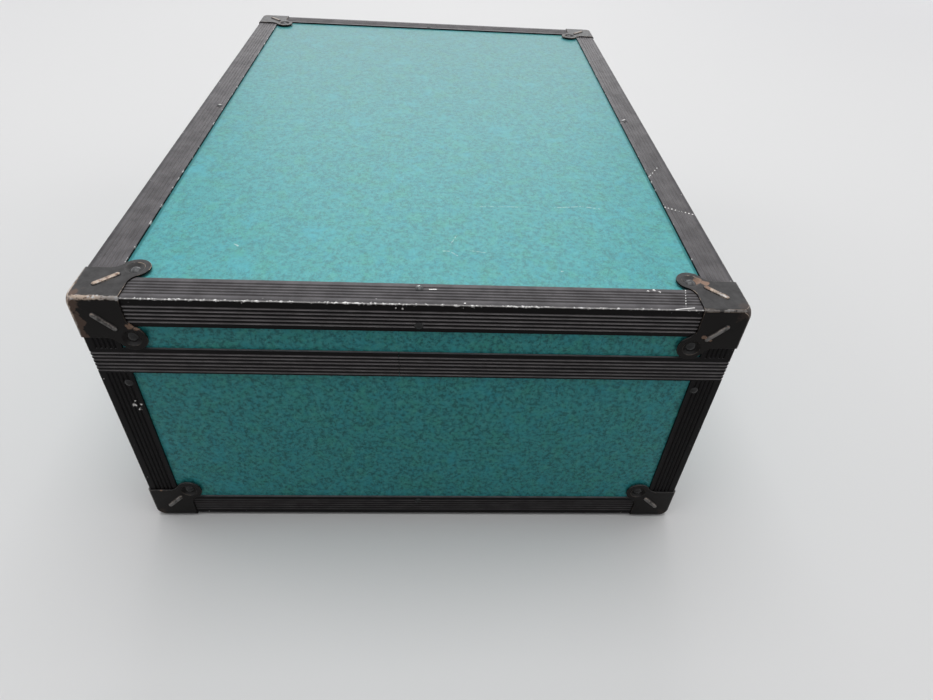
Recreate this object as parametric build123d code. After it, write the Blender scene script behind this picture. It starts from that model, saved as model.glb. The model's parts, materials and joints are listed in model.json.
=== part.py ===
from build123d import *
import os
from math import asin, cos, radians, sin, sqrt

# Hard carrying case: laminated plywood panels held by ribbed aluminium angles,
# pressed steel corner caps, a tongue-and-groove rim, two stop hinges, two draw
# latches and a swinging carrying handle. Millimetres, +Z up. The origin is the
# centre of the footprint on the plane that the case rests on. The lid opens
# towards +Y, and the latches and the handle are on the -Y side.

# ---- driving dimensions ----
# outside of the case, measured over the edge trims
case_length = 606.0
case_width = 425.0
case_height = 221.0
lid_height = 52.3
panel_thickness = 7.0
panel_corner = 1.5

# ribbed angle trims
trim_leg = 22.0
trim_wall = 1.6
trim_arris = 1.0
groove_first = 5.9
groove_pitch = 3.0
groove_count = 5
groove_mouth = 1.8
groove_floor = 0.3
groove_depth = 0.7

# tongue-and-groove rim
rim_groove_first = 1.7
rim_groove_count = 3
base_flange = 9.9
lid_flange = 11.5
inner_flange = 14.0
inner_flange_wall = 1.5
tongue_inset = 3.4
tongue_width = 2.0
tongue_depth = 4.0
tongue_clearance = 0.4
tongue_swing_clearance = 0.6
channel_bottom_clearance = 1.0
seam_gap = 0.2
lid_panel_seat = 6.6
butt_gap = 0.3
butt_offset = 13.0

# pressed corner caps
cap_wall = 1.2
cap_reach = 31.0
cap_neck = 14.9
lobe_radius = 9.5
lobe_centre = 31.2
cap_edge_radius = 2.6
cap_vertex_inset = 8.0
cap_vertex_ease = 0.06
ridge_near = 12.5
ridge_far = 23.0
ridge_radius = 2.0
ridge_height = 1.1
ridge_wear = 0.25
dish_radius = 6.2
dish_floor_radius = 4.2
dish_step = 0.7
cap_rim_round = 0.4

# dome rivets
cap_rivet_head = 3.6
cap_rivet_dome = 1.5
cap_rivet_shank = 2.0
trim_rivet_head = 2.9
trim_rivet_dome = 1.3
trim_rivet_shank = 1.6
trim_rivet_inset = 17.3
post_rivet_drop = 9.5
hardware_rivet_head = 2.8
hardware_rivet_dome = 1.2
hardware_rivet_shank = 1.6
rivet_clearance = 0.05

# foam lining
floor_foam = 10.0
wall_foam = 6.0
lid_foam = 20.0
foam_clearance = 0.3

# hinges, one near each end of the back
sheet = 1.5
hinge_end_inset = 113.0
hinge_offset = 3.7
knuckle_radius = 3.2
knuckle_length = 12.0
knuckle_count = 5
knuckle_gap = 0.2
hinge_pin_radius = 1.5
pin_clearance = 0.05
leaf_reach_base = 38.0
leaf_reach_lid = 28.5
leaf_clearance = 0.4
joggle_run = 1.8
joggle_clearance = 0.3
lid_opening = 105.0
stop_reach = 6.5
stop_gap = 0.1
leaf_rivet_spacing = 20.0

# latches, one near each end of the front
latch_end_inset = 123.0
latch_plate_width = 38.0
latch_plate_top = 11.0
latch_plate_bottom = 62.0
latch_rivet_spacing = 30.0
latch_rivet_margin = 6.5
lever_pivot_out = 5.5
lever_pivot_drop = 20.0
lever_pin_radius = 1.5
lever_width = 24.0
lever_wall = 1.2
lever_depth = 8.2
lever_length = 38.0
lever_lip = 3.4
lever_edge_round = 0.9
ear_neck = 1.8
toggle_arm = 10.0
toggle_over_centre = 5.0
ear_gap = 0.2
bail_wire_radius = 1.25
bail_side_gap = 0.35
bail_bar_gap = 0.1
bail_bend = 2.4
bail_foot_bend = 1.6
strike_ledge_top = 4.7
strike_ledge_wall = 1.5
strike_ledge_margin = 1.7
strike_lip = 0.2
strike_hook_width = 23.0
strike_plate_width = 38.0
strike_rivet_spacing = 27.0
strike_top = 28.5

# carrying handle, in the middle of the front
handle_seam_drop = 42.7
handle_pivot_out = 9.0
handle_span = 124.0
handle_drop = 36.0
handle_wire_radius = 3.0
handle_top_bend = 6.0
handle_grip_bend = 8.0
handle_pivot_length = 18.5
grip_length = 100.0
grip_half_depth = 8.0
grip_half_height = 9.5
grip_end_round = 3.0
bracket_ear_first = 7.5
bracket_ear_spacing = 8.5
bracket_height = 32.0
bracket_rivet_spacing = 22.0

# rubber feet on the back, to stand the case upright
foot_end_inset = 53.0
foot_rise = 45.0
foot_seam_drop = 38.7
foot_radius = 11.0
foot_tip_radius = 9.0
foot_height = 13.0
foot_edge_round = 1.6
foot_recess_radius = 4.6
foot_recess_depth = 6.0
screw_head_radius = 3.6
screw_head_height = 2.4
screw_shank_radius = 2.0

# ---- worked out from the driving dimensions ----
half_x = case_length / 2
half_y = case_width / 2
trim_low = cap_wall + ridge_height
trim_high = trim_low + case_height
seam = trim_high - lid_height
base_height = case_height - lid_height
mid_height = (trim_low + trim_high) / 2

skin_x = half_x - trim_wall
skin_y = half_y - trim_wall
skin_low = trim_low + trim_wall
skin_high = trim_high - trim_wall
inner_x = skin_x - panel_thickness
inner_y = skin_y - panel_thickness
floor_top = skin_low + panel_thickness
lid_ceiling = skin_high - panel_thickness
panel_inside = trim_wall + panel_thickness

channel_outer = tongue_inset - tongue_clearance
tongue_inner = tongue_inset + tongue_width
tongue_swing = sqrt((hinge_offset + tongue_inner) ** 2 + tongue_depth ** 2) - hinge_offset
channel_inner = tongue_swing + tongue_swing_clearance
channel_depth = tongue_depth + channel_bottom_clearance
base_panel_top = seam - channel_depth - trim_wall
lid_panel_bottom = seam + lid_panel_seat

hinge_y = half_y + hinge_offset
hinge_width = knuckle_count * knuckle_length
latch_x = half_x - latch_end_inset
hinge_x = half_x - hinge_end_inset
latch_places = {"left": -latch_x, "right": latch_x}
hinge_places = {"left": -hinge_x, "right": hinge_x}

toggle_out = lever_pivot_out - toggle_arm * sin(radians(toggle_over_centre))
toggle_drop = lever_pivot_drop + toggle_arm * cos(radians(toggle_over_centre))
ear_radius = lever_depth / 2 - lever_wall - ear_gap
bail_half = lever_width / 2 + bail_side_gap + bail_wire_radius
bail_bar = strike_ledge_top + bail_bar_gap + bail_wire_radius

handle_z = seam - handle_seam_drop
handle_front = half_y + handle_pivot_out + grip_half_depth
foot_back = skin_y + foot_height
footprint_shift = (handle_front - foot_back) / 2
sides = {"front": -1, "back": 1}
ends = {"left": -1, "right": 1}


# ---- helpers ----
def block(x_low, x_high, y_low, y_high, z_low, z_high):
    centre = Pos((x_low + x_high) / 2, (y_low + y_high) / 2, (z_low + z_high) / 2)
    return centre * Box(x_high - x_low, y_high - y_low, z_high - z_low)


def outline_face(points):
    return make_face(Polyline(*points, close=True))


# a section drawn as (distance outwards, height) on the front (-1) or back (+1) face
def wall_section(points, facing):
    return Plane.YZ * outline_face([(facing * out, up) for out, up in points])


def run_x(face, x_low, x_high):
    return extrude(Pos(x_low, 0, 0) * face, amount=x_high - x_low, dir=(1, 0, 0))


# copies a solid made at the left, front, lower corner to another corner
def to_corner(shape, end, side, level):
    placed = shape
    if end > 0:
        placed = mirror(placed, about=Plane.YZ)
    if side > 0:
        placed = mirror(placed, about=Plane.XZ)
    if level > 0:
        placed = mirror(placed, about=Plane.XY.offset(mid_height))
    return placed


# moves a solid drawn inwards from the corner of the trims to its place
def at_vertex(shape):
    return Pos(-half_x, -half_y, trim_low) * shape


# keeps the part of a solid that is on the positive side of a mitre through the corner
def mitred(shape, direction):
    mitre = Plane(origin=(-half_x, -half_y, trim_low), z_dir=direction)
    return split(shape, bisect_by=mitre, keep=Keep.TOP)


def solids_of(shapes):
    return Compound(children=[solid for shape in shapes for solid in shape.solids()])


# ---- fastener places: a point on the seat and the outward direction ----
def corner_signs():
    return [(end, side) for end in (-1, 1) for side in (-1, 1)]


# three seats on a corner, one on each face, at equal distances from the two arrises
def corner_places(inset, depth, level):
    base_z = trim_low if level < 0 else trim_high
    up = -level
    places = []
    for end, side in corner_signs():
        x_in = end * (half_x - inset)
        y_in = side * (half_y - inset)
        z_in = base_z + up * inset
        places.append((Vector(x_in, y_in, base_z + up * depth), Vector(0, 0, level)))
        places.append((Vector(x_in, side * (half_y - depth), z_in), Vector(0, side, 0)))
        places.append((Vector(end * (half_x - depth), y_in, z_in), Vector(end, 0, 0)))
    return places


# one seat at mid-length of each leg of the four long edges of the base or the lid
def edge_places(level):
    base_z = trim_low if level < 0 else trim_high
    side_z = base_z - level * trim_rivet_inset
    places = []
    for sign in (-1, 1):
        y_in = sign * (half_y - trim_rivet_inset)
        x_in = sign * (half_x - trim_rivet_inset)
        places.append((Vector(0, y_in, base_z), Vector(0, 0, level)))
        places.append((Vector(0, sign * half_y, side_z), Vector(0, sign, 0)))
        places.append((Vector(x_in, 0, base_z), Vector(0, 0, level)))
        places.append((Vector(sign * half_x, 0, side_z), Vector(sign, 0, 0)))
    return places


def post_places():
    height = seam - base_flange - post_rivet_drop
    places = []
    for end, side in corner_signs():
        x_in = end * (half_x - trim_rivet_inset)
        y_in = side * (half_y - trim_rivet_inset)
        places.append((Vector(x_in, side * half_y, height), Vector(0, side, 0)))
        places.append((Vector(end * half_x, y_in, height), Vector(end, 0, 0)))
    return places


# seats on a sheet that lies on the front or back panel
def sheet_places(offsets, facing):
    y_seat = facing * (skin_y + sheet)
    return [(Vector(x, y_seat, z), Vector(0, facing, 0)) for x, z in offsets]


def pair(spacing):
    return (-spacing / 2, spacing / 2)


def latch_plate_offsets():
    top = seam - latch_plate_top - latch_rivet_margin
    bottom = seam - latch_plate_bottom + latch_rivet_margin
    across = pair(latch_rivet_spacing)
    return [(x + dx, z) for x in latch_places.values() for dx in across for z in (top, bottom)]


def strike_offsets():
    height = seam + (lid_flange + joggle_run + strike_top) / 2
    return [(x + dx, height) for x in latch_places.values() for dx in pair(strike_rivet_spacing)]


def leaf_offsets(height):
    steps = (-leaf_rivet_spacing, 0, leaf_rivet_spacing)
    return [(x + dx, height) for x in hinge_places.values() for dx in steps]


def bracket_offsets():
    centre = handle_span / 2 + bracket_ear_first + (bracket_ear_spacing + sheet) / 2
    return [(sign * centre, handle_z + dz) for sign in (-1, 1) for dz in pair(bracket_rivet_spacing)]


def foot_places(depth):
    heights = (trim_low + foot_rise, seam - foot_seam_drop)
    foot_x = half_x - foot_end_inset
    y_seat = skin_y + foot_height - depth
    return [(Vector(x, y_seat, z), Vector(0, 1, 0)) for x in (-foot_x, foot_x) for z in heights]


cap_seat_depth = trim_wall - cap_wall
base_leaf_middle = seam - (base_flange + joggle_run + leaf_reach_base) / 2
lid_leaf_middle = seam + (lid_flange + joggle_run + leaf_reach_lid) / 2

base_cap_places = corner_places(cap_reach, cap_seat_depth, -1)
lid_cap_places = corner_places(cap_reach, cap_seat_depth, 1)
base_trim_places = edge_places(-1) + post_places()
lid_trim_places = edge_places(1)
base_front_places = sheet_places(latch_plate_offsets() + bracket_offsets(), -1)
base_sheet_places = base_front_places + sheet_places(leaf_offsets(base_leaf_middle), 1)
lid_sheet_places = sheet_places(strike_offsets(), -1) + sheet_places(leaf_offsets(lid_leaf_middle), 1)
screw_places = foot_places(foot_recess_depth)


# ---- fasteners ----
# a domed head on a plain shank, with the underside of the head at height 0
def rivet(head, dome, shank, grip):
    ball = (head ** 2 + dome ** 2) / (2 * dome)
    half_angle = asin(head / ball) / 2
    middle = (ball * sin(half_angle), dome - ball + ball * cos(half_angle))
    lower = Polyline((0, dome), (0, -grip), (shank, -grip), (shank, 0), (head, 0))
    arc = ThreePointArc((head, 0), middle, (0, dome))
    return revolve(Plane.XZ * make_face(lower + arc), axis=Axis.Z)


def set_at(shape, place):
    point, outward = place
    return Plane(origin=point, z_dir=outward) * shape


def rivet_group(places, head, dome, shank, grip):
    one = rivet(head, dome, shank, grip)
    return solids_of([set_at(one, place) for place in places])


# bores every hole that reaches the shape, each as deep as its fastener
def drilled(shape, places, shank, grip):
    radius = shank + rivet_clearance
    length = grip + trim_leg
    tool = Pos(0, 0, length / 2 - grip - rivet_clearance) * Cylinder(radius, length)
    box = shape.bounding_box()
    result = shape
    for place in places:
        hole = set_at(tool, place)
        reach = hole.bounding_box()
        apart_x = reach.min.X > box.max.X or reach.max.X < box.min.X
        apart_y = reach.min.Y > box.max.Y or reach.max.Y < box.min.Y
        apart_z = reach.min.Z > box.max.Z or reach.max.Z < box.min.Z
        if not (apart_x or apart_y or apart_z):
            result = result - hole
    return result


cap_grip = panel_inside - cap_seat_depth
trim_grip = panel_inside
sheet_grip = sheet + panel_thickness
screw_grip = foot_height - foot_recess_depth + panel_thickness


def base_drilled(shape):
    holed = drilled(shape, base_cap_places, cap_rivet_shank, cap_grip)
    holed = drilled(holed, base_trim_places, trim_rivet_shank, trim_grip)
    holed = drilled(holed, base_sheet_places, hardware_rivet_shank, sheet_grip)
    return drilled(holed, screw_places, screw_shank_radius, screw_grip)


def lid_drilled(shape):
    holed = drilled(shape, lid_cap_places, cap_rivet_shank, cap_grip)
    holed = drilled(holed, lid_trim_places, trim_rivet_shank, trim_grip)
    return drilled(holed, lid_sheet_places, hardware_rivet_shank, sheet_grip)


# ---- panels ----
def flat_panel(z_low):
    panel = block(-skin_x, skin_x, -skin_y, skin_y, z_low, z_low + panel_thickness)
    return fillet(panel.edges().filter_by(Axis.Z), radius=panel_corner)


def side_panel(side, z_low, z_high):
    near = side * inner_y
    far = side * skin_y
    return block(-skin_x, skin_x, min(near, far), max(near, far), z_low, z_high)


def end_panel(end, z_low, z_high):
    near = end * inner_x
    far = end * skin_x
    return block(min(near, far), max(near, far), -inner_y, inner_y, z_low, z_high)


def panels():
    parts = {"base_bottom_panel": base_drilled(flat_panel(skin_low))}
    parts["lid_top_panel"] = lid_drilled(flat_panel(lid_ceiling))
    for name, side in sides.items():
        parts[f"base_{name}_panel"] = base_drilled(side_panel(side, floor_top, base_panel_top))
        parts[f"lid_{name}_panel"] = lid_drilled(side_panel(side, lid_panel_bottom, lid_ceiling))
    for name, end in ends.items():
        parts[f"base_{name}_panel"] = base_drilled(end_panel(end, floor_top, base_panel_top))
        parts[f"lid_{name}_panel"] = lid_drilled(end_panel(end, lid_panel_bottom, lid_ceiling))
    return parts


# ---- edge trims ----
# groove corners along a straight face, from its start
def groove_points(centres):
    mouth = groove_mouth / 2
    floor = groove_floor / 2
    points = []
    for centre in centres:
        points += [(centre - mouth, 0), (centre - floor, groove_depth)]
        points += [(centre + floor, groove_depth), (centre + mouth, 0)]
    return points


def trim_grooves():
    return groove_points([groove_first + i * groove_pitch for i in range(groove_count)])


# ribbed L section, with both legs measured inwards from the arris
def angle_face():
    along = trim_grooves()
    points = [(0, 0)] + along + [(trim_leg, 0), (trim_leg, trim_wall), (trim_wall, trim_wall)]
    points += [(trim_wall, trim_leg), (0, trim_leg)]
    points += [(depth, across) for across, depth in reversed(along)]
    face = outline_face(points)
    arris = face.vertices().sort_by_distance((0, 0, 0))[0]
    return fillet(arris, radius=trim_arris)


# the corner that the caps round off, cut away from the trims below them
def vertex_relief():
    inset = cap_vertex_inset
    crest = (inset - trim_arris) * sqrt(2) + trim_arris
    cube = block(-trim_wall, inset, -trim_wall, inset, -trim_wall, inset)
    ball = Pos(inset, inset, inset) * Sphere(crest + cap_vertex_ease)
    return cube - ball


def along_x_trim(relief):
    face = Plane.YZ * angle_face()
    bar = extrude(face, amount=case_length / 2, dir=(1, 0, 0))
    bar = mitred(mitred(at_vertex(bar), (1, -1, 0)), (1, 0, -1)) - relief
    return bar + mirror(bar, about=Plane.YZ)


def along_y_trim(relief):
    face = Plane.XZ * angle_face()
    bar = extrude(face, amount=case_width / 2, dir=(0, 1, 0))
    bar = mitred(mitred(at_vertex(bar), (-1, 1, 0)), (0, 1, -1)) - relief
    return bar + mirror(bar, about=Plane.XZ)


def post_trim(relief, height):
    bar = extrude(angle_face(), amount=height, dir=(0, 0, 1))
    return mitred(mitred(at_vertex(bar), (-1, 0, 1)), (0, -1, 1)) - relief


def trims():
    relief = at_vertex(vertex_relief())
    long_trim = along_x_trim(relief)
    short_trim = along_y_trim(relief)
    base_post = post_trim(relief, base_height - base_flange)
    lid_post = post_trim(relief, lid_height - lid_flange)
    parts = {}
    for name, side in sides.items():
        parts[f"base_bottom_trim_{name}"] = base_drilled(to_corner(long_trim, -1, side, -1))
        parts[f"lid_top_trim_{name}"] = lid_drilled(to_corner(long_trim, -1, side, 1))
    for name, end in ends.items():
        parts[f"base_bottom_trim_{name}"] = base_drilled(to_corner(short_trim, end, -1, -1))
        parts[f"lid_top_trim_{name}"] = lid_drilled(to_corner(short_trim, end, -1, 1))
    for side_name, side in sides.items():
        for end_name, end in ends.items():
            placed = to_corner(base_post, end, side, -1)
            parts[f"base_post_{side_name}_{end_name}"] = base_drilled(placed)
    lid_posts = [to_corner(lid_post, end, side, 1) for end, side in corner_signs()]
    parts["lid_posts"] = solids_of(lid_posts)
    return parts


# ---- rims ----
def rim_grooves(sign):
    centres = [rim_groove_first + i * groove_pitch for i in range(rim_groove_count)]
    return [(inwards, sign * along) for along, inwards in groove_points(centres)]


# sections as (distance inwards, height above the seam)
def base_rim_outline():
    inner = panel_inside + inner_flange_wall
    web = -channel_depth - trim_wall
    points = [(0, 0)] + rim_grooves(-1) + [(0, -base_flange), (trim_wall, -base_flange)]
    points += [(trim_wall, web), (panel_inside, web), (panel_inside, -inner_flange)]
    points += [(inner, -inner_flange), (inner, 0), (channel_inner, 0)]
    points += [(channel_inner, -channel_depth), (channel_outer, -channel_depth), (channel_outer, 0)]
    return points


def lid_rim_outline():
    inner = panel_inside + inner_flange_wall
    lead = tongue_clearance
    points = [(0, seam_gap)] + rim_grooves(1) + [(0, lid_flange), (trim_wall, lid_flange)]
    points += [(trim_wall, lid_panel_seat), (panel_inside, lid_panel_seat)]
    points += [(panel_inside, inner_flange), (inner, inner_flange), (inner, seam_gap)]
    points += [(tongue_inner, seam_gap)]
    points += [(tongue_inner, lead - tongue_depth), (tongue_inner - lead, -tongue_depth)]
    points += [(tongue_inset + lead, -tongue_depth), (tongue_inset, lead - tongue_depth)]
    points += [(tongue_inset, seam_gap)]
    return points


# four mitred lengths bent into one frame, with its butt joint in the left end
def rim_frame(points):
    section = outline_face(points)
    front = Pos(-half_x, -half_y, seam) * extrude(Plane.YZ * section, amount=half_x, dir=(1, 0, 0))
    left = Pos(-half_x, -half_y, seam) * extrude(Plane.XZ * section, amount=half_y, dir=(0, 1, 0))
    corner = mitred(front, (1, -1, 0)) + mitred(left, (-1, 1, 0))
    half = corner + mirror(corner, about=Plane.YZ)
    whole = half + mirror(half, about=Plane.XZ)
    tall = inner_flange + tongue_depth
    rounded = Pos(0, 0, seam - tall) * RectangleRounded(case_length, case_width, trim_arris)
    whole = whole & extrude(rounded, amount=2 * tall)
    across = (butt_offset, butt_offset + butt_gap)
    return whole - block(-half_x, tall - inner_x, *across, seam - tall, seam + tall)


def rims():
    return {"base_rim": rim_frame(base_rim_outline()), "lid_rim": rim_frame(lid_rim_outline())}


# ---- corner caps ----
# outline of one face of a cap, from the corner of its outer faces
def cap_face():
    low = -cap_wall
    offset = lobe_centre - cap_reach
    rise = lobe_centre - cap_neck
    fillet_radius = (offset ** 2 + rise ** 2 - lobe_radius ** 2) / (2 * (lobe_radius + offset))
    hollow = (cap_reach + fillet_radius, cap_neck)
    reach = lobe_radius + fillet_radius
    touch_a = lobe_centre + (hollow[0] - lobe_centre) * lobe_radius / reach
    touch_b = lobe_centre + (hollow[1] - lobe_centre) * lobe_radius / reach
    tip = lobe_centre + lobe_radius / sqrt(2)
    middle_x = (cap_reach + touch_a) / 2 - hollow[0]
    middle_y = (cap_neck + touch_b) / 2 - hollow[1]
    scale_up = fillet_radius / sqrt(middle_x ** 2 + middle_y ** 2)
    middle = (hollow[0] + middle_x * scale_up, hollow[1] + middle_y * scale_up)
    edges = Polyline((low, cap_reach), (low, low), (cap_reach, low), (cap_reach, cap_neck))
    edges += ThreePointArc((cap_reach, cap_neck), middle, (touch_a, touch_b))
    edges += ThreePointArc((touch_a, touch_b), (tip, tip), (touch_b, touch_a))
    edges += ThreePointArc((touch_b, touch_a), (middle[1], middle[0]), (cap_neck, cap_reach))
    edges += Line((cap_neck, cap_reach), (low, cap_reach))
    return make_face(edges)


# pressed dish that carries the rivet down to the panel
def cap_dish():
    outer = dish_radius + dish_step
    floor = dish_floor_radius + dish_step
    points = [(0, cap_seat_depth), (dish_floor_radius, cap_seat_depth), (dish_radius, -cap_wall)]
    points += [(outer, -cap_wall), (outer, 0), (floor, trim_wall), (0, trim_wall)]
    return revolve(Plane.XZ * outline_face(points), axis=Axis.Z)


# raised rib along the diagonal of a face, with a crest worn flat
def cap_ridge():
    length = (ridge_far - ridge_near) * sqrt(2)
    middle = (ridge_near + ridge_far) / 2
    bar = Cylinder(ridge_radius, length)
    bar += Pos(0, 0, length / 2) * Sphere(ridge_radius)
    bar += Pos(0, 0, -length / 2) * Sphere(ridge_radius)
    laid = Rotation(0, 0, 45) * Rotation(0, 90, 0) * bar
    depth = ridge_radius - ridge_height - cap_wall
    kept = block(0, cap_reach, 0, cap_reach, -cap_wall - ridge_height, -cap_wall / 2)
    return (Pos(middle, middle, depth - ridge_wear) * laid) & kept


# true for the free outer edges of one face, away from the arrises
def on_outer_rim(edge):
    centre = edge.center()
    on_face = abs(centre.Z + cap_wall) < 0.01
    return on_face and min(centre.X, centre.Y) > 0.01 - cap_wall


def cap_plate():
    plate = extrude(Pos(0, 0, -cap_wall) * cap_face(), amount=cap_wall, dir=(0, 0, 1))
    outer_rim = [edge for edge in plate.edges() if on_outer_rim(edge)]
    plate = fillet(outer_rim, radius=cap_rim_round)
    plate -= Pos(cap_reach, cap_reach, 0) * Cylinder(dish_radius + dish_step / 2, 4 * cap_wall)
    return plate + Pos(cap_reach, cap_reach, 0) * cap_dish()


def on_edge(edge, level):
    centre = edge.center()
    near = [abs(value - level) < 0.01 for value in (centre.X, centre.Y, centre.Z)]
    return sum(near) == 2 and edge.geom_type == GeomType.LINE


# the three faces of a corner are copies turned about its diagonal
def three_faces(shape):
    diagonal = Axis((0, 0, 0), (1, 1, 1))
    return shape + shape.rotate(diagonal, 120) + shape.rotate(diagonal, 240)


# solid corner with the rounded edges and vertex of the outside of a cap
def rounded_corner():
    far = lobe_centre + 2 * lobe_radius
    solid = block(-cap_wall, far, -cap_wall, far, -cap_wall, far)
    solid = fillet([edge for edge in solid.edges() if on_edge(edge, -cap_wall)], radius=cap_edge_radius)
    centre = cap_vertex_inset - cap_wall
    crest = (cap_vertex_inset - cap_edge_radius) * sqrt(2) + cap_edge_radius
    outside = block(-2 * cap_wall, centre, -2 * cap_wall, centre, -2 * cap_wall, centre)
    return solid - (outside - Pos(centre, centre, centre) * Sphere(crest + cap_vertex_ease))


def corner_cap():
    cap = three_faces(cap_plate())
    cap = fillet([edge for edge in cap.edges() if on_edge(edge, 0)], radius=trim_arris)
    cap = cap + (vertex_relief() & block(0, cap_neck, 0, cap_neck, 0, cap_neck))
    return at_vertex((cap & rounded_corner()) + three_faces(cap_ridge()))


def caps():
    cap = corner_cap()
    parts = {}
    for side_name, side in sides.items():
        for end_name, end in ends.items():
            base_cap = to_corner(cap, end, side, -1)
            lid_cap = to_corner(cap, end, side, 1)
            parts[f"base_cap_{side_name}_{end_name}"] = base_drilled(base_cap)
            parts[f"lid_cap_{side_name}_{end_name}"] = lid_drilled(lid_cap)
    return parts


# ---- rivets and screws ----
def fasteners():
    cap_sizes = (cap_rivet_head, cap_rivet_dome, cap_rivet_shank, cap_grip)
    trim_sizes = (trim_rivet_head, trim_rivet_dome, trim_rivet_shank, trim_grip)
    sheet_sizes = (hardware_rivet_head, hardware_rivet_dome, hardware_rivet_shank, sheet_grip)
    screw_sizes = (screw_head_radius, screw_head_height, screw_shank_radius, screw_grip)
    parts = {"base_cap_rivets": rivet_group(base_cap_places, *cap_sizes)}
    parts["lid_cap_rivets"] = rivet_group(lid_cap_places, *cap_sizes)
    parts["base_trim_rivets"] = rivet_group(base_trim_places, *trim_sizes)
    parts["lid_trim_rivets"] = rivet_group(lid_trim_places, *trim_sizes)
    parts["base_hardware_rivets"] = rivet_group(base_sheet_places, *sheet_sizes)
    parts["lid_hardware_rivets"] = rivet_group(lid_sheet_places, *sheet_sizes)
    parts["back_foot_screws"] = rivet_group(screw_places, *screw_sizes)
    return parts


# ---- foam lining ----
def foams():
    gap = foam_clearance
    wide = inner_x - gap
    deep = inner_y - gap
    floor_low = floor_top
    floor_high = floor_top + floor_foam
    wall_high = seam - inner_flange - gap
    base_floor = block(-wide, wide, -deep, deep, floor_low, floor_high)
    long_low = deep - wall_foam
    short_low = wide - wall_foam
    inside = long_low - gap
    front = block(-wide, wide, -deep, -long_low, floor_high, wall_high)
    left = block(-wide, -short_low, -inside, inside, floor_high, wall_high)
    walls = [front, mirror(front, about=Plane.XZ), left, mirror(left, about=Plane.YZ)]
    top = block(-wide, wide, -deep, deep, lid_ceiling - lid_foam, lid_ceiling)
    return {"base_floor_foam": base_floor, "base_wall_foam": solids_of(walls), "lid_foam": top}


# ---- hinges ----
# sheet on the panel that steps out over the rim, as (outwards, height) from the seam
def joggled_outline(flange, reach, inner_end, sign):
    step = flange + joggle_clearance
    points = [(-trim_wall, sign * reach), (-trim_wall, sign * step), (0, sign * step)]
    points += [(0, sign * inner_end), (sheet, sign * inner_end), (sheet, sign * (flange + joggle_run))]
    points += [(sheet - trim_wall, sign * (flange + joggle_run + sheet)), (sheet - trim_wall, sign * reach)]
    return points


# knuckle positions along the hinge, as (low, high) from its left end
def knuckle_spans(first):
    spans = []
    for index in range(first, knuckle_count, 2):
        low = index * knuckle_length - hinge_width / 2
        spans.append((low + knuckle_gap / 2, low + knuckle_length - knuckle_gap / 2))
    return spans


# a fin that meets the base leaf when the lid is fully open, turned back to the closed pose
def stop_fin():
    face_out = sheet + stop_gap - hinge_offset
    root = hinge_pin_radius + pin_clearance + sheet / 2
    fin = [(face_out, -root), (face_out, -stop_reach)]
    fin += [(face_out + sheet, -stop_reach), (face_out + sheet, -root)]
    return Rotation(lid_opening, 0, 0) * run_x(wall_section(fin, 1), 0, knuckle_length - knuckle_gap)


def hinge_leaf(flange, reach, sign, first, with_stop):
    clear = knuckle_radius + leaf_clearance
    outline = joggled_outline(flange, reach, clear, sign)
    leaf = run_x(wall_section(outline, 1), -hinge_width / 2, hinge_width / 2)
    tab = [(0, sign * seam_gap), (0, sign * clear), (sheet, sign * clear), (sheet, sign * seam_gap)]
    barrel = Rotation(0, 90, 0) * Cylinder(knuckle_radius, knuckle_length - knuckle_gap)
    bore = Rotation(0, 90, 0) * Cylinder(hinge_pin_radius + pin_clearance, hinge_width + knuckle_length)
    for low, high in knuckle_spans(first):
        leaf += run_x(wall_section(tab, 1), low, high)
        leaf += Pos((low + high) / 2, hinge_offset, 0) * barrel
        if with_stop:
            leaf += Pos(low, hinge_offset, 0) * stop_fin()
    return leaf - Pos(0, hinge_offset, 0) * bore


def hinges():
    base_leaf = hinge_leaf(base_flange, leaf_reach_base, -1, 0, False)
    lid_leaf = hinge_leaf(lid_flange, leaf_reach_lid, 1, 1, True)
    parts = {}
    for name, x in hinge_places.items():
        parts[f"hinge_{name}_base_leaf"] = base_drilled(Pos(x, half_y, seam) * base_leaf)
        parts[f"hinge_{name}_lid_leaf"] = lid_drilled(Pos(x, half_y, seam) * lid_leaf)
    return parts


# ---- latches ----
def latch_plate():
    half = latch_plate_width / 2
    seat = [(-trim_wall, -latch_plate_top), (sheet - trim_wall, -latch_plate_top)]
    seat += [(sheet - trim_wall, -latch_plate_bottom), (-trim_wall, -latch_plate_bottom)]
    plate = run_x(wall_section(seat, -1), -half, half)
    plate = fillet(plate.edges().filter_by(Axis.Y), radius=2 * sheet)
    outer = lever_width / 2 - lever_wall - ear_gap
    centre = -lever_pivot_drop
    root = [(-sheet / 2, centre + ear_neck), (lever_pivot_out, centre + ear_neck)]
    root += [(lever_pivot_out, centre - ear_radius)]
    root += [(sheet, centre - 2 * ear_radius), (-sheet / 2, centre - 2 * ear_radius)]
    disc = Rotation(0, 90, 0) * Cylinder(ear_radius, sheet)
    hole = Rotation(0, 90, 0) * Cylinder(lever_pin_radius + pin_clearance, lever_width)
    pivot = Pos(0, -lever_pivot_out, -lever_pivot_drop)
    for sign in (-1, 1):
        ear = sign * (outer - sheet / 2)
        plate += run_x(wall_section(root, -1), ear - sheet / 2, ear + sheet / 2)
        plate += Pos(ear, 0, 0) * pivot * disc
    return plate - pivot * hole


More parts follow.
